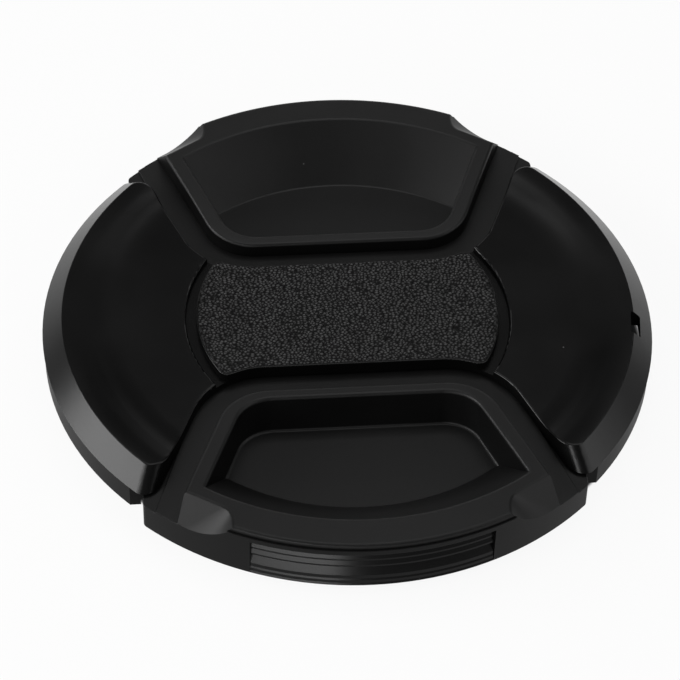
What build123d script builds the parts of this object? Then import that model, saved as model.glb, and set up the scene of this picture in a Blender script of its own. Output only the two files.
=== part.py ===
from build123d import *
import os
from math import asin, cos, degrees, hypot, radians, sqrt, tan

# Centre-pinch lens cap that snaps into a filter thread, lying front face up.
# Origin: middle of the back, level with the tips of the jaws. +Z leaves the front face, X runs from wing to
# wing and Y along the pinch. The near latch is on the -Y side and the far latch is the same piece turned round.
# All sizes are in millimetres.

# Lens thread
thread_diameter = 77.0
thread_pitch = 0.75
thread_clearance = 0.1
thread_depth = 0.45

# Front cover
rim_overhang = 1.5
cover_top = 8.6
bevel_width = 2.65
bevel_height = 2.6
dish_depth = 1.1
dish_outer_inset = 3.1
dish_run = 7.0
wing_corner_round = 2.0
wing_edge_round = 0.25
rim_bottom = 2.5
rim_wall = 1.0
rim_step = 0.15
rim_gap_clearance = 0.24
seat_rib_wall = 1.4
seat_rib_half_angle = 15.0
seat_rib_inset = 4.2
rail_clearance = 0.2
rail_wall = 1.0
rail_inner_y = 12.0
rail_outer_y = 20.0

# Opening in the cover for each latch
opening_inner_y = 9.2
opening_inner_half_width = 18.25
opening_side_angle = 22.4
opening_corner_radius = 10.0

# Bridge with its raised panel
recess_radius = 21.25
recess_depth = 0.75
panel_radius = 19.85
panel_height = 1.1
panel_corner_round = 1.3
panel_edge_round = 0.12

# Lanyard slot in the bevel
slot_length = 3.8
slot_width = 1.3
slot_corner_round = 0.2
slot_inset = 2.35
slot_angle = -7.3

# Latch, drawn flush with the cover and then set out by latch_proud
latch_proud = 1.0
latch_travel = 3.0
latch_bottom = 1.65
latch_wall = 1.6
latch_end_round = 0.8
latch_low_round = 0.2
raised_inner_y = 12.1
raised_inner_half_width = 16.0
raised_side_angle = 21.2
raised_corner_radius = 7.0
crown_edge_round = 0.5
crown_height = 0.36
crown_radius = 280.0
crown_peak_inset = 3.0
apron_clearance = 0.2
apron_inner_half_width = 20.5
apron_side_angle = 18.4
apron_straight_y = 12.0
apron_edge_round = 0.12
tongue_step = 0.25
tongue_inner_y = 8.0
plate_bottom = 4.4
tongue_meeting_gap = 0.1

# Finger pocket
pocket_floor = 2.9
pocket_rim_width = 4.5
pocket_slope_run = 7.1
pocket_inner_border = 1.5
pocket_side_border = 2.2
pocket_inner_run = 1.3
pocket_side_run = 0.3
pocket_corner_radius = 5.0
pocket_floor_round = 0.35

# Scoops at the outer corners of each latch
scoop_angle = 33.4
scoop_width = 3.1
scoop_step = 0.06
scoop_end = 8.0
scoop_end_narrowing = 2.48
scoop_end_round = 9.0
scoop_round_narrowing = 6.2
scoop_reach = 1.0

# Rim band and grip on the outer wall
rim_band_height = 0.8
rim_band_inset = 0.25
grip_half_width = 15.15
grip_top = 7.5
grip_depth = 1.05
grip_face_slope = 0.7
grip_lip_levels = (6.23, 5.21, 3.44, 2.6, 1.95)
grip_lip_insets = (0.45, 0.35, 0.2, 0.1, 0.0)
grip_lip_heights = (0.27, 0.27, 0.57, 0.48)

# Jaw
jaw_wall = 1.5
jaw_half_angle = 35.0
jaw_ridges = 2
jaw_tip = 0.2

# Hollow under the pocket's slope
hollow_skin = 1.2
hollow_half_angle = 30.0
hollow_outer_wall = 3.8

# Stop and spring seats
stop_half_width = 8.0
stop_wall = 1.2
stop_gap = 0.1
stop_drop = 2.4
spring_side_gap = 1.7
spring_z = 3.75
spring_outer_radius = 2.0
spring_wire = 0.4
spring_turns = 7
spring_seat_y = 8.0
spring_seat_depth = 2.0
spring_seat_half_width = 2.7
spring_seat_margin = 1.0
spring_seat_drop = 2.2
spring_seat_gap = 0.1
spring_peg_radius = 1.2
spring_peg_length = 2.5

# Back plate
slide_clearance = 0.25
back_plate_thickness = 1.0
back_plate_gap = 0.4
back_plate_chamfer = 0.3
back_dish_radius = 24.0
back_dish_depth = 0.25
cradle_wall = 0.8
cradle_height = 1.2
cradle_half_length = 4.5
cradle_gap = 0.3

# Levels, radii and places that follow from the sizes above
cover_radius = thread_diameter / 2 + rim_overhang
cover_shoulder = cover_top - bevel_height
rim_radius = cover_radius - rim_step
slot_radius = cover_radius - slot_inset
crown_peak_y = cover_radius - crown_peak_inset
spring_x = apron_inner_half_width + spring_side_gap + spring_outer_radius
latch_half_width = spring_x + spring_seat_half_width + spring_seat_margin
rim_gap_y = sqrt((rim_radius - rim_wall) ** 2 - (latch_half_width + rim_gap_clearance) ** 2)
dish_level = cover_top - dish_depth
dish_outer_radius = cover_radius - dish_outer_inset
dish_inner_radius = dish_outer_radius - dish_run
recess_floor = dish_level - recess_depth
panel_top = recess_floor + panel_height
crown_top = cover_top + crown_height
apron_top = cover_shoulder - apron_clearance
scoop_drop = crown_top - apron_top - scoop_step
tongue_top = apron_top - tongue_step
back_plate_top = latch_bottom - slide_clearance
back_plate_bottom = back_plate_top - back_plate_thickness
jaw_radius = thread_diameter / 2 - thread_clearance
jaw_inner_radius = jaw_radius - jaw_wall
tongue_end_y = latch_travel + tongue_meeting_gap
seat_rib_radius = cover_radius - seat_rib_inset
far_above = cover_top + 5.0
far_out = cover_radius + 5.0


def prism(sketch, low, high):
    """A flat outline raised from one level to another."""
    return extrude(Pos(0, 0, low) * sketch, high - low)


def turned(points, half_angle=None):
    """A profile of (radius, height) points turned about Z, all round or over an arc centred on -Y."""
    profile = Plane.XZ * make_face(Polyline(*points, close=True))
    if half_angle is None:
        return revolve(profile, Axis.Z)
    arc = revolve(profile, Axis.Z, 2 * half_angle)
    return Rot(0, 0, -90 - half_angle) * arc


def ring_sector(inner, outer, low, high, half_angle):
    """A piece of a ring centred on -Y."""
    return turned([(inner, low), (outer, low), (outer, high), (inner, high)], half_angle)


def box_between(low, high):
    """A box from its lowest to its highest corner."""
    size = [b - a for a, b in zip(low, high)]
    middle = [(a + b) / 2 for a, b in zip(low, high)]
    return Pos(*middle) * Box(*size)


def tapered_outline(inner_y, inner_half_width, side_angle, corner_radius, outer_y):
    """A trapezium on the -Y side that widens outwards, with its two inner corners rounded."""
    spread = (outer_y - inner_y) * tan(radians(side_angle))
    outline = make_face(
        Polyline(
            (-inner_half_width, -inner_y),
            (inner_half_width, -inner_y),
            (inner_half_width + spread, -outer_y),
            (-inner_half_width - spread, -outer_y),
            close=True,
        )
    )
    inner_corners = outline.vertices().sort_by(Axis.Y)[-2:]
    return fillet(inner_corners, corner_radius)


def ring(inner, outer, low, high):
    """A full ring about Z."""
    return turned([(inner, low), (outer, low), (outer, high), (inner, high)])


def both_sides(shape):
    """A shape on the -Y side, and its copy turned to the +Y side."""
    return [shape, Rot(0, 0, 180) * shape]


def make_opening():
    return tapered_outline(
        opening_inner_y, opening_inner_half_width, opening_side_angle, opening_corner_radius, far_out
    )


def make_dish():
    """The shallow dish in the wings: level inside, with a soft S-shaped step up to the border."""
    middle = ((dish_inner_radius + dish_outer_radius) / 2, (dish_level + cover_top) / 2)
    outline = [
        Line((0, far_above), (0, dish_level)),
        Line((0, dish_level), (dish_inner_radius, dish_level)),
        TangentArc((dish_inner_radius, dish_level), middle, tangent=(1, 0)),
        TangentArc((dish_outer_radius, cover_top), middle, tangent=(-1, 0)),
        Line((dish_outer_radius, cover_top), (dish_outer_radius, far_above)),
        Line((dish_outer_radius, far_above), (0, far_above)),
    ]
    return revolve(Plane.XZ * make_face(outline), Axis.Z)


def make_wings(openings):
    """The bevelled disc, opened for the latches, with the wings' outer corners rounded."""
    bevel_slope = bevel_width / bevel_height
    spare = 2.0
    disc = turned(
        [
            (0, cover_shoulder - spare),
            (cover_radius + spare * bevel_slope, cover_shoulder - spare),
            (cover_radius - bevel_width - spare * bevel_slope, cover_top + spare),
            (0, cover_top + spare),
        ]
    )
    for outline in openings:
        disc -= prism(outline, 0, far_above)
    disc = fillet(disc.edges().filter_by(GeomType.HYPERBOLA), wing_corner_round)
    return disc & prism(Circle(far_out), cover_shoulder, cover_top)


def make_cover():
    opening = make_opening()
    openings = both_sides(opening)

    # Wings, dished and sunk across the bridge, with their top edges rounded
    cover = make_wings(openings)
    cover -= make_dish()
    cover -= prism(Circle(recess_radius), recess_floor, far_above)
    top_faces = cover.faces().filter_by(lambda f: f.normal_at().Z > 0.9 and f.center().Z > recess_floor + 0.1)
    counts = {}
    for face in top_faces:
        for edge in face.edges():
            counts.setdefault(edge, 0)
            counts[edge] += 1
    cover = fillet([edge for edge, count in counts.items() if count == 1], wing_edge_round)

    # Raised panel in the recess across the bridge
    panel = Sketch() + Circle(panel_radius)
    for outline in openings:
        panel -= outline
    panel = fillet(panel.vertices().sort_by_distance((0, 0))[-4:], panel_corner_round)
    panel = prism(panel, recess_floor, panel_top)
    panel = fillet(panel.faces().sort_by(Axis.Z)[-1].edges(), panel_edge_round)
    cover += panel

    # Rim wall, left open where the latches stand
    rim = ring(rim_radius - rim_wall, rim_radius, rim_bottom, cover_shoulder)
    rim &= box_between((-far_out, -rim_gap_y, 0), (far_out, rim_gap_y, far_above))
    cover += rim

    # Ribs that carry the back plate and rails that guide the latches
    rib = ring_sector(
        seat_rib_radius - seat_rib_wall, seat_rib_radius, back_plate_top, cover_shoulder, seat_rib_half_angle
    )
    for side in (90, -90):
        cover += Rot(0, 0, side) * rib
    rail = box_between(
        (latch_half_width + rail_clearance, rail_inner_y, back_plate_top),
        (latch_half_width + rail_clearance + rail_wall, rail_outer_y, cover_shoulder),
    )
    for copy in (rail, mirror(rail, Plane.XZ), mirror(rail, Plane.YZ), Rot(0, 0, 180) * rail):
        cover += copy

    # Lanyard slot
    slot = RectangleRounded(slot_width, slot_length, slot_corner_round)
    cover -= prism(Rot(0, 0, slot_angle) * Pos(slot_radius, 0, 0) * slot, 0, far_above)
    return cover


def pocket_outline(level):
    """The finger pocket's outline at a level: it widens from its floor to the crown of the rim."""
    share = (level - pocket_floor) / (crown_top - pocket_floor)
    side_tan = tan(radians(raised_side_angle))
    side_border = pocket_side_border + pocket_side_run * (1 - share)
    inner_border = pocket_inner_border + pocket_inner_run * (1 - share)
    inner_half = raised_inner_half_width + inner_border * side_tan - side_border / cos(radians(raised_side_angle))
    outline = tapered_outline(
        raised_inner_y + inner_border, inner_half, raised_side_angle, pocket_corner_radius, far_out
    )
    reach = cover_radius - pocket_rim_width - pocket_slope_run * (1 - share)
    return Pos(0, 0, level) * (Sketch() + outline & Circle(reach))


def make_pocket():
    pocket = loft([pocket_outline(pocket_floor), pocket_outline(crown_top + 0.6)], ruled=True)
    floor_edges = pocket.faces().sort_by(Axis.Z)[0].edges()
    return fillet(floor_edges, pocket_floor_round)


def scoop_section(distance):
    """The section of a scoop's cut at a distance from the axis: level, then rounded up to its end."""
    share = (cover_radius - distance) / scoop_width
    level = crown_top - scoop_drop * (1 - share)
    end = scoop_end - scoop_end_narrowing * share
    radius = scoop_end_round - scoop_round_narrowing * share
    top = crown_top + 2 * scoop_end_round
    start = -2 * scoop_end
    outline = [
        Line((start, level), (end - radius, level)),
        TangentArc((end - radius, level), (end, level + radius), tangent=(1, 0)),
        Line((end, level + radius), (end, top)),
        Line((end, top), (start, top)),
        Line((start, top), (start, level)),
    ]
    return Plane(origin=(0, -distance, 0), x_dir=(1, 0, 0), z_dir=(0, -1, 0)) * make_face(outline)


def make_scoop():
    """The cut that bevels the left outer corner of a latch and ends in a rounded hollow."""
    inner = scoop_section(cover_radius - scoop_width - scoop_reach)
    outer = scoop_section(cover_radius + scoop_reach)
    return Rot(0, 0, -scoop_angle) * loft([inner, outer], ruled=True)


def make_grip():
    """The ribbed window in a latch's outer wall: slanted faces that end in lips, each further out than the last."""
    level = grip_lip_levels[0] + (grip_depth - grip_lip_insets[0]) / grip_face_slope
    points = [(far_out, grip_top), (cover_radius, grip_top)]
    for place, (lip_level, lip_inset) in enumerate(zip(grip_lip_levels, grip_lip_insets)):
        root_inset = lip_inset + (level - lip_level) * grip_face_slope
        points.append((cover_radius - root_inset, level))
        if place < len(grip_lip_heights):
            points.append((cover_radius - lip_inset, lip_level))
            level = lip_level - grip_lip_heights[place]
            points.append((cover_radius - lip_inset, level))
    run_out = far_out - cover_radius + grip_lip_insets[-1]
    points.append((far_out, grip_lip_levels[-1] - run_out / grip_face_slope))
    return turned(points, degrees(asin(grip_half_width / cover_radius)))


def make_raised_body():
    """The raised part of a latch: a crowned block with scooped corners, a set-back rim band and the pocket."""
    outline = tapered_outline(
        raised_inner_y, raised_inner_half_width, raised_side_angle, raised_corner_radius, far_out
    )
    body = prism(Sketch() + Circle(cover_radius) & outline, latch_bottom, far_above)
    crown = Pos(0, -crown_peak_y, crown_top - crown_radius) * Rot(0, 90, 0) * Cylinder(crown_radius, 2 * far_out)
    body &= crown
    scoop = make_scoop()
    body -= scoop
    body -= mirror(scoop, Plane.YZ)
    body -= ring(cover_radius - rim_band_inset, far_out, crown_top - rim_band_height, far_above)
    body -= make_pocket()
    upper_faces = body.faces().filter_by(lambda f: f.normal_at().Z > 0.9 and f.center().Z > apron_top)
    crown_face = upper_faces.sort_by(SortBy.AREA)[-1]
    return fillet(crown_face.edges(), crown_edge_round)


def make_hollow():
    """The space under the pocket's slope, open at the back."""
    rise = crown_top - pocket_floor
    slope_length = hypot(pocket_slope_run, rise)
    shift_out = hollow_skin * rise / slope_length
    shift_down = hollow_skin * pocket_slope_run / slope_length
    slope = rise / pocket_slope_run
    inner = cover_radius - pocket_rim_width - pocket_slope_run + shift_out
    level = pocket_floor - shift_down
    outer = cover_radius - hollow_outer_wall
    return turned(
        [
            (inner + (0 - level) / slope, 0),
            (outer, 0),
            (outer, level + (outer - inner) * slope),
        ],
        hollow_half_angle,
    )


def make_jaw():
    """The threaded jaw on a latch's back: an arc with ridges that match the lens thread."""
    root = jaw_radius - thread_depth
    points = [(jaw_inner_radius, latch_bottom + jaw_tip), (jaw_inner_radius, 0), (root - jaw_tip, 0)]
    for ridge in range(jaw_ridges):
        low = jaw_tip + ridge * thread_pitch
        points.append((root, low))
        points.append((jaw_radius, low + thread_pitch / 2))
    points.append((root, jaw_tip + jaw_ridges * thread_pitch))
    points.append((root, latch_bottom + jaw_tip))
    return turned(points, jaw_half_angle)


def round_top(plate, level):
    """A plate with the edges of its top face rounded."""
    top_faces = plate.faces().filter_by(lambda f: f.normal_at().Z > 0.9 and abs(f.center().Z - level) < 0.01)
    return fillet(top_faces.edges(), apron_edge_round)


def make_latch():
    """The near latch, standing out from the cover as it does at rest."""
    disc = Sketch() + Circle(cover_radius)
    pocket = make_pocket()
    tongue_end = tongue_end_y - latch_proud

    # Outer limit of the latch: straight ends, rounded at the corners and along the lower edge
    base = disc & Pos(0, -(tongue_inner_y + far_out) / 2) * Rectangle(2 * latch_half_width, far_out - tongue_inner_y)
    base = fillet(base.vertices().sort_by(Axis.Y)[:2], latch_end_round)
    limit = prism(base, latch_bottom, far_above)
    low_edges = limit.faces().sort_by(Axis.Z)[0].edges().filter_by(GeomType.CIRCLE)
    limit = fillet(low_edges, latch_low_round)

    # Slide plate: the apron beside the raised body, the lower tongue under the wings and the outer wall
    apron_reach = (far_out - apron_straight_y) * tan(radians(apron_side_angle))
    apron = disc & make_face(
        Polyline(
            (-apron_inner_half_width, -tongue_end),
            (apron_inner_half_width, -tongue_end),
            (apron_inner_half_width, -apron_straight_y),
            (apron_inner_half_width + apron_reach, -far_out),
            (-apron_inner_half_width - apron_reach, -far_out),
            (-apron_inner_half_width, -apron_straight_y),
            close=True,
        )
    )
    apron &= Rectangle(2 * latch_half_width, 2 * far_out)
    wall = base - Circle(cover_radius - latch_wall)
    plate = prism(base, plate_bottom, tongue_top)
    plate += prism(wall, latch_bottom, tongue_top) & limit
    plate = round_top(plate, tongue_top)
    plate += round_top(prism(apron, plate_bottom, apron_top), apron_top)
    plate -= pocket
    latch = (make_raised_body() & limit) + plate
    latch -= make_grip()
    latch -= make_hollow()
    latch += make_jaw()

    # Stop lug at the inner end and the two spring seats with their pegs
    latch += box_between(
        (-stop_half_width, -tongue_end - stop_wall, plate_bottom - stop_drop),
        (stop_half_width, -tongue_end, apron_top),
    )
    seat = box_between(
        (spring_x - spring_seat_half_width, -spring_seat_y - spring_seat_depth, plate_bottom - spring_seat_drop),
        (spring_x + spring_seat_half_width, -spring_seat_y, tongue_top),
    )
    peg = Pos(spring_x, -spring_seat_y, spring_z) * Rot(-90, 0, 0) * Cylinder(
        spring_peg_radius, spring_peg_length, align=(Align.CENTER, Align.CENTER, Align.MIN)
    )
    for piece in (seat, peg):
        latch += piece
        latch += mirror(piece, Plane.YZ)
    return Pos(0, -latch_proud, 0) * latch


def make_back_plate():
    """The disc that closes the back: it keeps clear of both jaws when they are pressed in."""
    reach = jaw_inner_radius - back_plate_gap
    pressed_in = latch_travel - latch_proud
    disc = turned(
        [
            (0, back_plate_bottom),
            (reach - back_plate_chamfer, back_plate_bottom),
            (reach, back_plate_bottom + back_plate_chamfer),
            (reach, back_plate_top),
            (0, back_plate_top),
        ]
    )
    plate = Pos(0, pressed_in, 0) * disc & Pos(0, -pressed_in, 0) * disc
    plate -= prism(Circle(back_dish_radius), back_plate_bottom, back_plate_bottom + back_dish_depth)

    # Stops for the lugs, and low walls that keep the springs in line
    stop_y = tongue_end_y + stop_wall + stop_gap
    stop = box_between(
        (-stop_half_width, -stop_y - stop_wall, back_plate_top),
        (stop_half_width, -stop_y, plate_bottom - slide_clearance),
    )
    for piece in both_sides(stop):
        plate += piece
    inside = spring_outer_radius + cradle_gap
    for middle in (-spring_x, spring_x):
        for near_face in (middle - inside - cradle_wall, middle + inside):
            plate += box_between(
                (near_face, -cradle_half_length, back_plate_top),
                (near_face + cradle_wall, cradle_half_length, back_plate_top + cradle_height),
            )
    return plate


def make_spring(x):
    """A compression spring that lies along Y between the spring seats of the two latches."""
    length = 2 * (spring_seat_y + latch_proud - spring_seat_gap) - spring_wire
    coil_radius = spring_outer_radius - spring_wire / 2
    path = Helix(length / spring_turns, length, coil_radius)
    section = Plane(path @ 0, z_dir=path % 0) * Circle(spring_wire / 2)
    coil = sweep(section, path, is_frenet=True)
    return Pos(x, 0, spring_z) * Rot(90, 0, 0) * Pos(0, 0, -length / 2) * coil


near_latch = make_latch()
nodes = {
    "front_cover": make_cover(),
    "back_plate": make_back_plate(),
    "near_latch": near_latch,
    "far_latch": Rot(0, 0, 180) * near_latch,
    "left_spring": make_spring(-spring_x),
    "right_spring": make_spring(spring_x),
}
os.makedirs("parts", exist_ok=True)
for name, shape in nodes.items():
    print(name, round(shape.volume, 1), len(shape.solids()), shape.is_valid, shape.bounding_box())
    export_step(shape, f"parts/{name}.step")
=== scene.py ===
import math

import bpy
import numpy as np
from mathutils import Matrix, Vector


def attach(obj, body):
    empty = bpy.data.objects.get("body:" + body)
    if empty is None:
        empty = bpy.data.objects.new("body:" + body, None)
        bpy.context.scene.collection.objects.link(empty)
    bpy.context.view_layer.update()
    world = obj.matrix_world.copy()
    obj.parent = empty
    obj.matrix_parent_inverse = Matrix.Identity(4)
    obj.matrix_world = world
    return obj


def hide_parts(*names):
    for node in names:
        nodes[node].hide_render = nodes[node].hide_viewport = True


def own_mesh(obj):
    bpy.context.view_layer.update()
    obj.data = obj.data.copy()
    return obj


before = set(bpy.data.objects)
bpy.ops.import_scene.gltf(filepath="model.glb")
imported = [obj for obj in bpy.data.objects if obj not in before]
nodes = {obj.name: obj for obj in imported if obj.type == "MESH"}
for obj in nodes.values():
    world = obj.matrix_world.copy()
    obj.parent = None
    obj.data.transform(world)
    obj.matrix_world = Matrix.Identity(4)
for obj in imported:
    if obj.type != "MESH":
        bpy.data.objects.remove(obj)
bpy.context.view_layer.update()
scene = bpy.context.scene
MM = 0.001

# Sizes shared with the solids, in millimetres
panel_radius = 19.85
panel_top = 7.85
panel_corner_round = 1.3
opening_inner_y = 9.2
opening_inner_half_width = 18.25
opening_side_angle = 22.4
opening_corner_radius = 10.0
spring_x = 24.2
spring_z = 3.75
spring_half_length = 8.9
spring_outer_radius = 2.0
spring_wire = 0.4
spring_turns = 7
latch_proud = 1.0
cover_radius = 40.0
dish_middle_radius = 33.4
dish_half_run = 3.5
grip_half_width = 15.15
grip_top = 7.5
grip_depth = 1.05

# Where the plastic's gloss changes, in millimetres
dish_clear_y = 5.0
dish_clear_half_length = 8.0
dish_end_half_length = 15.0
grip_area_depth = 1.5 * grip_depth
grip_area_margin = 0.02

# Gloss of the plastic: on upright walls, on level faces, and where it is duller or smoother
plastic_ior = 1.48
wall_upward = 0.15
face_upward = 0.45
wall_shine = 0.09
face_shine = 0.32
dull_share = 0.4
grip_roughness = 0.22

# Slow changes of tone and gloss, and dust, with its sizes in millimetres
patch_scale = 90.0
patch_low = 0.3
patch_high = 0.7
dust_spacing = 5.2
dust_radius = 0.12
dust_core_share = 0.6
dust_tone = 0.10

# Sizes of the panel's grain, in millimetres
grain_inset = 0.14
grain_pitch = 0.088
grain_length = 0.50
grain_width = 0.38
grain_height = 0.15
grain_sink = 0.01
grain_end_gap = 0.05
grain_least_half_height = 0.05
grain_wave_span_x = 2.1
grain_wave_span_y = 1.7

# Pebbles of the panel's grain, measured in pebbles or as shares of their height
grain_seed = 11
grain_cells = 256
grain_cell_shift = 400.0
grain_wave = 0.35
grain_wave_turn = 1.0
grain_far = 9.0
grain_crease_width = 0.45
grain_dome_reach = 0.85
grain_least_tall = 0.72
grain_crease_rest = 0.15

# Look of the panel's grain, from the creases to the tops: its tones are painted shade in the creases and a
# painted highlight on the tops
grain_crease_level = 0.35
grain_top_level = 0.95
grain_shade_and_highlight_tones = (0.0015, 0.050)
grain_roughness = (0.42, 0.28)
grain_shine = (0.13, 0.55)


# Node helpers

def new_material(name):
    material = bpy.data.materials.new(name)
    material.use_nodes = True
    tree = material.node_tree
    shader = tree.nodes["Principled BSDF"]
    return material, tree, shader


def add(tree, kind, **inputs):
    node = tree.nodes.new(kind)
    for key, value in inputs.items():
        node.inputs[key].default_value = value
    return node


def object_coordinates(tree):
    return tree.nodes.new("ShaderNodeTexCoord").outputs["Object"]


def split_axes(tree, vector):
    node = tree.nodes.new("ShaderNodeSeparateXYZ")
    tree.links.new(vector, node.inputs[0])
    return node.outputs


def noise(tree, coordinates, scale, detail=2.0, roughness=0.5):
    node = add(tree, "ShaderNodeTexNoise", Scale=scale, Detail=detail, Roughness=roughness)
    tree.links.new(coordinates, node.inputs["Vector"])
    return node.outputs["Fac"]


def remap(tree, value, low, high, to_low, to_high):
    node = tree.nodes.new("ShaderNodeMapRange")
    node.inputs["From Min"].default_value = low
    node.inputs["From Max"].default_value = high
    node.inputs["To Min"].default_value = to_low
    node.inputs["To Max"].default_value = to_high
    tree.links.new(value, node.inputs["Value"])
    return node.outputs["Result"]


def grey(level):
    return (level, level, level)


def mix_colours(tree, factor, first, second):
    """A mix of two colours, each a socket or three numbers."""
    node = tree.nodes.new("ShaderNodeMix")
    node.data_type = "RGBA"
    tree.links.new(factor, node.inputs["Factor"])
    for name, colour in (("A", first), ("B", second)):
        if isinstance(colour, tuple):
            node.inputs[name].default_value = (*colour, 1.0)
        else:
            tree.links.new(colour, node.inputs[name])
    return node.outputs["Result"]


def bump(tree, height, strength, distance):
    node = add(tree, "ShaderNodeBump", Strength=strength, Distance=distance)
    tree.links.new(height, node.inputs["Height"])
    return node.outputs["Normal"]


def combine(tree, operation, first, second):
    """A Math node on two values, each a socket or a number."""
    node = tree.nodes.new("ShaderNodeMath")
    node.operation = operation
    for socket, value in zip(node.inputs, (first, second)):
        if isinstance(value, (int, float)):
            socket.default_value = value
        else:
            tree.links.new(value, socket)
    return node.outputs[0]


def absolute(tree, value):
    return combine(tree, "ABSOLUTE", value, 0.0)


def vector_math(tree, operation, vector, other=(0.0, 0.0, 0.0)):
    node = tree.nodes.new("ShaderNodeVectorMath")
    node.operation = operation
    tree.links.new(vector, node.inputs[0])
    node.inputs[1].default_value = other
    return node.outputs


def plan_distance(tree, coordinates, centre, stretch=1.0):
    """Distance from an upright line through a point of the XY plane, with Y stretched."""
    moved = vector_math(tree, "SUBTRACT", coordinates, (*centre, 0.0))["Vector"]
    flat = vector_math(tree, "MULTIPLY", moved, (1.0, stretch, 0.0))["Vector"]
    return vector_math(tree, "LENGTH", flat)["Value"]


def facing_up(tree):
    """One where the surface is level, zero where it is upright."""
    normal = tree.nodes.new("ShaderNodeNewGeometry").outputs["Normal"]
    return absolute(tree, split_axes(tree, normal)["Z"])


# Masks on the plastic's surface

def dust_specks(tree, coordinates):
    """A mask of a few tiny round specks, where points strewn through space lie close to the surface."""
    points = add(tree, "ShaderNodeTexVoronoi", Scale=1.0 / (dust_spacing * MM))
    tree.links.new(coordinates, points.inputs["Vector"])
    share = dust_radius / dust_spacing
    return remap(tree, points.outputs["Distance"], share, share * dust_core_share, 0.0, 1.0)


def dish_step(tree, coordinates):
    """A mask of the step round the wings' dish, towards its ends: one where it is steepest."""
    reach = plan_distance(tree, coordinates, (0.0, 0.0))
    away = absolute(tree, combine(tree, "SUBTRACT", reach, dish_middle_radius * MM))
    steep = remap(tree, away, 0.0, dish_half_run * MM, 1.0, 0.0)
    along = absolute(tree, combine(tree, "SUBTRACT", split_axes(tree, coordinates)["Y"], dish_clear_y * MM))
    near_end = remap(tree, along, dish_clear_half_length * MM, dish_end_half_length * MM, 0.0, 1.0)
    return combine(tree, "MULTIPLY", steep, near_end)


def grip_area(tree, coordinates):
    """A mask of the smooth ribbed window in each latch's outer wall."""
    axes = split_axes(tree, coordinates)
    aside = absolute(tree, axes["X"])
    along = combine(tree, "SUBTRACT", absolute(tree, axes["Y"]), latch_proud * MM)
    aside_squared = combine(tree, "MULTIPLY", aside, aside)
    along_squared = combine(tree, "MULTIPLY", along, along)
    reach = combine(tree, "SQRT", combine(tree, "ADD", aside_squared, along_squared), 0.0)
    outside = combine(tree, "GREATER_THAN", reach, (cover_radius - grip_area_depth) * MM)
    between = combine(tree, "LESS_THAN", aside, (grip_half_width + grip_area_margin) * MM)
    below = combine(tree, "LESS_THAN", axes["Z"], (grip_top + grip_area_margin) * MM)
    return combine(tree, "MULTIPLY", combine(tree, "MULTIPLY", outside, between), below)


# Materials

def moulded_plastic(name, tones, roughness, fine_scale, fine_strength, fine_depth,
                    smooth_area=None, dull_area=None, wall_haze=0.0):
    """Black moulded plastic: fine surface grain, slow changes of gloss and tone, and a little dust."""
    material, tree, shader = new_material(name)
    shader.inputs["IOR"].default_value = plastic_ior
    place = object_coordinates(tree)
    patches = remap(tree, noise(tree, place, patch_scale, detail=3.0), patch_low, patch_high, 0.0, 1.0)
    upward = facing_up(tree)

    shine = remap(tree, upward, wall_upward, face_upward, wall_shine, face_shine)
    if dull_area is not None:
        dulling = remap(tree, dull_area(tree, place), 0.0, 1.0, 1.0, dull_share)
        shine = combine(tree, "MULTIPLY", shine, dulling)
    tree.links.new(shine, shader.inputs["Specular IOR Level"])

    dark, light = tones
    clean = mix_colours(tree, patches, grey(dark), grey(light))
    dusty = mix_colours(tree, dust_specks(tree, place), clean, grey(dust_tone))
    tree.links.new(dusty, shader.inputs["Base Color"])

    gloss = remap(tree, patches, 0.0, 1.0, *roughness)
    if wall_haze:
        haze = remap(tree, upward, wall_upward, face_upward, wall_haze, 0.0)
        gloss = combine(tree, "ADD", gloss, haze)
    fine = noise(tree, place, fine_scale, detail=3.0, roughness=0.6)
    if smooth_area is not None:
        smooth = smooth_area(tree, place)
        matte = combine(tree, "SUBTRACT", 1.0, smooth)
        matte_gloss = combine(tree, "MULTIPLY", gloss, matte)
        smooth_gloss = combine(tree, "MULTIPLY", grip_roughness, smooth)
        gloss = combine(tree, "ADD", matte_gloss, smooth_gloss)
        fine = combine(tree, "MULTIPLY", fine, matte)
    tree.links.new(gloss, shader.inputs["Roughness"])
    tree.links.new(bump(tree, fine, fine_strength, fine_depth * MM), shader.inputs["Normal"])
    return material


def grained_plastic_with_painted_light(name):
    """The panel's plastic: painted shade darkens the grain's creases and a painted highlight makes its tops
    paler; it is also duller in the creases and glossier on the tops.
    """
    material, tree, shader = new_material(name)
    shader.inputs["IOR"].default_value = plastic_ior
    place = object_coordinates(tree)
    crease_z = (panel_top + grain_crease_level * grain_height) * MM
    top_z = (panel_top + grain_top_level * grain_height) * MM
    rise = remap(tree, split_axes(tree, place)["Z"], crease_z, top_z, 0.0, 1.0)
    # Base colour by height: painted shade in the creases, a painted highlight on the tops
    crease_painted_shade, top_painted_highlight = grain_shade_and_highlight_tones
    tone = mix_colours(tree, rise, grey(crease_painted_shade), grey(top_painted_highlight))
    tree.links.new(tone, shader.inputs["Base Color"])
    tree.links.new(remap(tree, rise, 0.0, 1.0, *grain_roughness), shader.inputs["Roughness"])
    tree.links.new(remap(tree, rise, 0.0, 1.0, *grain_shine), shader.inputs["Specular IOR Level"])
    fine = noise(tree, place, 5200.0, detail=3.0, roughness=0.6)
    tree.links.new(bump(tree, fine, strength=0.20, distance=0.02 * MM), shader.inputs["Normal"])
    return material


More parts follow.
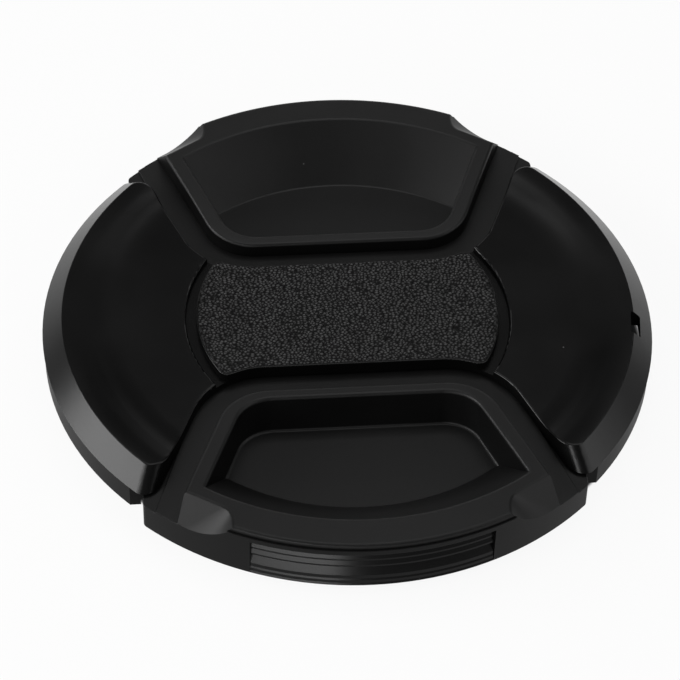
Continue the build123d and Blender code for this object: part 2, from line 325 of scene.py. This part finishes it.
def drawn_steel(name):
    """Drawn steel wire, with fine changes of tone and gloss."""
    material, tree, shader = new_material(name)
    shader.inputs["Metallic"].default_value = 1.0
    streaks = noise(tree, object_coordinates(tree), 3000.0)
    dark = (0.46, 0.46, 0.47)
    light = (0.62, 0.62, 0.63)
    tree.links.new(mix_colours(tree, streaks, dark, light), shader.inputs["Base Color"])
    tree.links.new(remap(tree, streaks, 0.3, 0.7, 0.22, 0.36), shader.inputs["Roughness"])
    return material


cover_plastic = moulded_plastic(
    "cover_plastic",
    tones=(0.0017, 0.0021),
    roughness=(0.22, 0.27),
    fine_scale=2500.0,
    fine_strength=0.12,
    fine_depth=0.02,
    dull_area=dish_step,
    wall_haze=0.22,
)
latch_plastic = moulded_plastic(
    "latch_plastic",
    tones=(0.0032, 0.0037),
    roughness=(0.40, 0.46),
    fine_scale=5200.0,
    fine_strength=0.35,
    fine_depth=0.03,
    smooth_area=grip_area,
)
plate_plastic = moulded_plastic(
    "plate_plastic",
    tones=(0.0034, 0.0040),
    roughness=(0.41, 0.47),
    fine_scale=4200.0,
    fine_strength=0.30,
    fine_depth=0.03,
)
panel_plastic_painted_shade_and_highlight = grained_plastic_with_painted_light("panel_plastic_painted_shade_and_highlight")
spring_steel = drawn_steel("spring_steel")


def dress(node_name, material):
    mesh = nodes[node_name].data
    mesh.materials.clear()
    mesh.materials.append(material)


dress("front_cover", cover_plastic)
dress("back_plate", plate_plastic)
dress("near_latch", latch_plastic)
dress("far_latch", latch_plastic)


def new_mesh(name, points, faces, material):
    mesh = bpy.data.meshes.new(name)
    mesh.from_pydata([tuple(p) for p in points], [], [tuple(f) for f in faces])
    mesh.validate()
    mesh.update()
    for polygon in mesh.polygons:
        polygon.use_smooth = True
    mesh.materials.append(material)
    piece = bpy.data.objects.new(name, mesh)
    scene.collection.objects.link(piece)
    return piece


# Grained panel: a thin pebbled sheet that covers the flat top of the bridge's panel

def panel_half_height(x):
    """Half the grained area's length along Y at a place along X."""
    side = np.abs(x)
    corner_turn = math.radians(90.0 - opening_side_angle) / 2
    arc_x = opening_inner_half_width - opening_corner_radius * math.tan(corner_turn)
    arc_y = opening_inner_y + opening_corner_radius

    # Middle of the panel's rounded corner: set by its distances from the panel's and the opening's arcs
    arc_distance = math.hypot(arc_x, arc_y)
    from_panel = panel_radius - panel_corner_round
    from_arc = opening_corner_radius + panel_corner_round
    along = (from_panel**2 - from_arc**2 + arc_distance**2) / (2 * arc_distance)
    aside = math.sqrt(from_panel**2 - along**2)
    corner_x = (along * arc_x + aside * arc_y) / arc_distance
    corner_y = (along * arc_y - aside * arc_x) / arc_distance
    corner_start = arc_x + (corner_x - arc_x) * opening_corner_radius / from_arc
    corner_end = corner_x * panel_radius / from_panel

    inner_arc = (opening_corner_radius + grain_inset) ** 2 - np.maximum(side - arc_x, 0.0) ** 2
    inner_edge = arc_y - np.sqrt(np.maximum(inner_arc, 0.0))
    corner_arc = (panel_corner_round - grain_inset) ** 2 - (side - corner_x) ** 2
    corner_edge = corner_y + np.sqrt(np.maximum(corner_arc, 0.0))
    end_edge = np.sqrt(np.maximum((panel_radius - grain_inset) ** 2 - side**2, 0.0))
    return np.where(side < corner_start, inner_edge, np.where(side < corner_end, corner_edge, end_edge))


def pebble(x, y):
    """Height of the leather-like grain from 0 to 1: rounded pebbles of uneven size with narrow creases."""
    seeds = np.random.default_rng(grain_seed)
    jitter = seeds.random((grain_cells, grain_cells, 3))
    wave_u = grain_wave * np.sin(y / grain_wave_span_y)
    wave_v = grain_wave * np.sin(x / grain_wave_span_x + grain_wave_turn)
    u = x / grain_length + wave_u + grain_cell_shift
    v = y / grain_width + wave_v + grain_cell_shift
    cell_u = np.floor(u).astype(int)
    cell_v = np.floor(v).astype(int)
    first = np.full(x.shape, grain_far)
    second = np.full(x.shape, grain_far)
    tall = np.zeros(x.shape)
    for step_u in (-1, 0, 1):
        for step_v in (-1, 0, 1):
            around_u = cell_u + step_u
            around_v = cell_v + step_v
            pick = jitter[around_u % grain_cells, around_v % grain_cells]
            distance = np.hypot(around_u + pick[..., 0] - u, around_v + pick[..., 1] - v)
            nearer = distance < first
            second = np.where(nearer, first, np.minimum(second, distance))
            tall = np.where(nearer, pick[..., 2], tall)
            first = np.where(nearer, distance, first)
    crease = np.clip((second - first) / grain_crease_width, 0.0, 1.0)
    crease = crease * (2.0 - crease)
    dome = 1.0 - np.clip(first / grain_dome_reach, 0.0, 1.0) ** 2
    height = grain_least_tall + (1.0 - grain_least_tall) * tall
    return height * dome * (grain_crease_rest + (1.0 - grain_crease_rest) * crease)


def make_grain():
    end_x = panel_radius - grain_inset - grain_end_gap
    columns = int(2 * end_x / grain_pitch) + 1
    rows = int(2 * opening_inner_y / grain_pitch) + 1
    x = np.linspace(-end_x, end_x, columns)
    share = np.linspace(-1.0, 1.0, rows)
    half_height = np.maximum(panel_half_height(x), grain_least_half_height)
    grid_x = np.repeat(x[:, None], rows, axis=1)
    grid_y = half_height[:, None] * share[None, :]
    foot_z = panel_top - grain_sink
    z = foot_z + grain_height * pebble(grid_x, grid_y)
    z[[0, -1], :] = foot_z
    z[:, [0, -1]] = foot_z
    points = np.stack([grid_x, grid_y, z], axis=-1).reshape(-1, 3) * MM
    index = np.arange(columns * rows).reshape(columns, rows)
    corners = [index[:-1, :-1], index[1:, :-1], index[1:, 1:], index[:-1, 1:]]
    faces = np.stack(corners, axis=-1).reshape(-1, 4)
    return new_mesh("panel_grain", points, faces, panel_plastic_painted_shade_and_highlight)


panel_grain = make_grain()
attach(panel_grain, "cover")


# Springs: each in two halves, near and far of the middle, both fixed to the cover

def make_half_spring(name, x, side):
    turn_steps = 40
    wire_steps = 10
    coil_radius = spring_outer_radius - spring_wire / 2
    end_y = spring_half_length - spring_wire / 2
    steps = int(spring_turns / 2 * turn_steps) + 1
    share = np.linspace(0.0, 1.0, steps)
    angle = share * spring_turns * math.pi
    outward = np.stack([np.cos(angle), np.zeros(steps), np.sin(angle) * side], axis=1)
    centre = coil_radius * outward
    centre[:, 1] = side * share * end_y
    along = np.gradient(centre, axis=0)
    along /= np.linalg.norm(along, axis=1)[:, None]
    across = np.cross(along, outward)
    middle = np.array([x, 0.0, spring_z])
    points = []
    for k in range(steps):
        for j in range(wire_steps):
            turn = 2 * math.pi * j / wire_steps
            offset = math.cos(turn) * outward[k] + math.sin(turn) * across[k]
            points.append((centre[k] + spring_wire / 2 * offset + middle) * MM)
    faces = []
    for k in range(steps - 1):
        for j in range(wire_steps):
            after = (j + 1) % wire_steps
            a = k * wire_steps
            b = (k + 1) * wire_steps
            faces.append((a + j, a + after, b + after, b + j))
    faces.append(tuple(range(wire_steps))[::-1])
    faces.append(tuple((steps - 1) * wire_steps + j for j in range(wire_steps)))
    return new_mesh(name, points, faces, spring_steel)


for side_name, side_x in (("left", -spring_x), ("right", spring_x)):
    for end_name, end_side in (("near", -1.0), ("far", 1.0)):
        half = make_half_spring(f"{side_name}_spring_{end_name}_half", side_x, end_side)
        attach(half, "cover")
        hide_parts(f"{side_name}_spring")
        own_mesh(half)


# Floor: white where it is seen, with a painted shadow, a dark base colour, under the cap

floor_half_side = 3.0
floor_z = -0.00003
floor_pale = 0.86
# Base colour of the painted shadow under the cap
floor_painted_shadow = 0.03
floor_whiteness = 0.92
shade_centre = (0.0008, 0.0)
shade_stretch = 1.06
shade_tone_start = 0.0383
shade_white_start = 0.0386
shade_end = 0.0390


def seen_directly(tree):
    """One for rays from the camera and for reflected and transmitted rays, else zero."""
    path = tree.nodes.new("ShaderNodeLightPath").outputs
    reflected = combine(tree, "MAXIMUM", path["Is Camera Ray"], path["Is Glossy Ray"])
    return combine(tree, "MAXIMUM", reflected, path["Is Transmission Ray"])


floor_corners = [(-1, -1), (1, -1), (1, 1), (-1, 1)]
floor_points = [(x * floor_half_side, y * floor_half_side, floor_z) for x, y in floor_corners]
floor_mesh = bpy.data.meshes.new("floor")
floor_mesh.from_pydata(floor_points, [], [(0, 1, 2, 3)])
floor = bpy.data.objects.new("floor", floor_mesh)
scene.collection.objects.link(floor)
floor_material, floor_tree, floor_shader = new_material("floor_white")
floor_shader.inputs["Roughness"].default_value = 0.9
floor_shader.inputs["Specular IOR Level"].default_value = 0.1
floor_glow = add(floor_tree, "ShaderNodeEmission", Strength=1.0)
floor_reach = plan_distance(floor_tree, object_coordinates(floor_tree), shade_centre, shade_stretch)
floor_white = remap(floor_tree, floor_reach, shade_white_start, shade_end, 0.0, floor_whiteness)
# Base colour: a painted shadow, dark under the cap and pale beyond it
floor_outside_painted_shadow = remap(floor_tree, floor_reach, shade_tone_start, shade_end, 0.0, 1.0)
floor_tone_with_painted_shadow = mix_colours(floor_tree, floor_outside_painted_shadow, grey(floor_painted_shadow), grey(floor_pale))
floor_tree.links.new(floor_tone_with_painted_shadow, floor_shader.inputs["Base Color"])
floor_seen = combine(floor_tree, "MULTIPLY", floor_white, seen_directly(floor_tree))
floor_mix = floor_tree.nodes.new("ShaderNodeMixShader")
floor_tree.links.new(floor_seen, floor_mix.inputs["Fac"])
floor_tree.links.new(floor_shader.outputs[0], floor_mix.inputs[1])
floor_tree.links.new(floor_glow.outputs[0], floor_mix.inputs[2])
floor_output = floor_tree.nodes["Material Output"]
floor_tree.links.new(floor_mix.outputs[0], floor_output.inputs["Surface"])
floor_mesh.materials.append(floor_material)

# World: pale near the horizon and dim overhead
horizon_height = 0.08
overhead_height = 0.50
horizon_level = 0.29
overhead_level = 0.09
world = bpy.data.worlds.new("studio")
scene.world = world
world.use_nodes = True
sky = world.node_tree
sky_direction = sky.nodes.new("ShaderNodeTexCoord").outputs["Generated"]
sky_height = split_axes(sky, sky_direction)["Z"]
sky_level = remap(sky, sky_height, horizon_height, overhead_height, horizon_level, overhead_level)
sky_light = sky.nodes["Background"]
sky_light.inputs["Color"].default_value = (1.0, 1.0, 1.0, 1.0)
sky.links.new(sky_level, sky_light.inputs["Strength"])


# Lamps

def soft_box(name, azimuth, elevation, distance, width, height, radiance):
    """A rectangular lamp that faces the cap, placed by its direction from it (azimuth 0 is +X, 90 is +Y)."""
    light = bpy.data.lights.new(name, "AREA")
    light.shape = "RECTANGLE"
    light.size = width
    light.size_y = height
    light.energy = radiance * math.pi * width * height
    lamp = bpy.data.objects.new(name, light)
    turn = math.radians(azimuth)
    rise = math.radians(elevation)
    level = distance * math.cos(rise)
    lamp.location = (level * math.cos(turn), level * math.sin(turn), distance * math.sin(rise))
    lamp.rotation_euler = (-Vector(lamp.location)).to_track_quat("-Z", "Y").to_euler()
    scene.collection.objects.link(lamp)


soft_box("left_window", azimuth=181.5, elevation=25.0, distance=0.70, width=0.61, height=0.27, radiance=6.9)
soft_box("left_front", azimuth=213.0, elevation=37.0, distance=0.80, width=0.30, height=0.22, radiance=2.0)
soft_box("front_strip", azimuth=248.0, elevation=22.7, distance=0.70, width=0.38, height=0.10, radiance=7.2)
soft_box("right_fill", azimuth=335.0, elevation=32.0, distance=0.85, width=0.60, height=0.35, radiance=1.4)
soft_box("right_window", azimuth=2.0, elevation=21.0, distance=0.80, width=0.40, height=0.20, radiance=1.35)
soft_box("top_right", azimuth=0.0, elevation=62.0, distance=1.20, width=0.50, height=0.50, radiance=1.1)
soft_box("zenith", azimuth=90.0, elevation=88.0, distance=1.20, width=0.60, height=0.60, radiance=1.4)
soft_box("back_top", azimuth=90.0, elevation=66.0, distance=1.20, width=0.90, height=0.35, radiance=1.85)
soft_box("back_low", azimuth=90.0, elevation=18.0, distance=0.90, width=1.20, height=0.40, radiance=0.6)

# Camera, fitted to the photograph's view
view_elevation = math.radians(46.293)
view_azimuth = math.radians(-5.789)
view_roll = math.radians(1.670)
view_target = Vector((-1.525, -5.695, 8.6)) * MM
view_distance = 384.447 * MM
focal_pixels = 2968.7
image_pixels = 680.0
sensor_width = 36.0
level_share = math.cos(view_elevation)
back = Vector(
    (math.sin(view_azimuth) * level_share, -math.cos(view_azimuth) * level_share, math.sin(view_elevation))
)
level_right = Vector((math.cos(view_azimuth), math.sin(view_azimuth), 0.0))
level_up = back.cross(level_right)
right = level_right * math.cos(view_roll) + level_up * math.sin(view_roll)
up = level_up * math.cos(view_roll) - level_right * math.sin(view_roll)
eye = view_target + back * view_distance
camera_data = bpy.data.cameras.new("camera")
camera_data.sensor_width = sensor_width
camera_data.lens = sensor_width * focal_pixels / image_pixels
camera_data.clip_start = 0.01
camera_data.clip_end = 20.0
camera = bpy.data.objects.new("camera", camera_data)
camera.matrix_world = Matrix(
    (
        (right.x, up.x, back.x, eye.x),
        (right.y, up.y, back.y, eye.y),
        (right.z, up.z, back.z, eye.z),
        (0.0, 0.0, 0.0, 1.0),
    )
)
scene.collection.objects.link(camera)
scene.camera = camera
scene.view_settings.view_transform = "Standard"
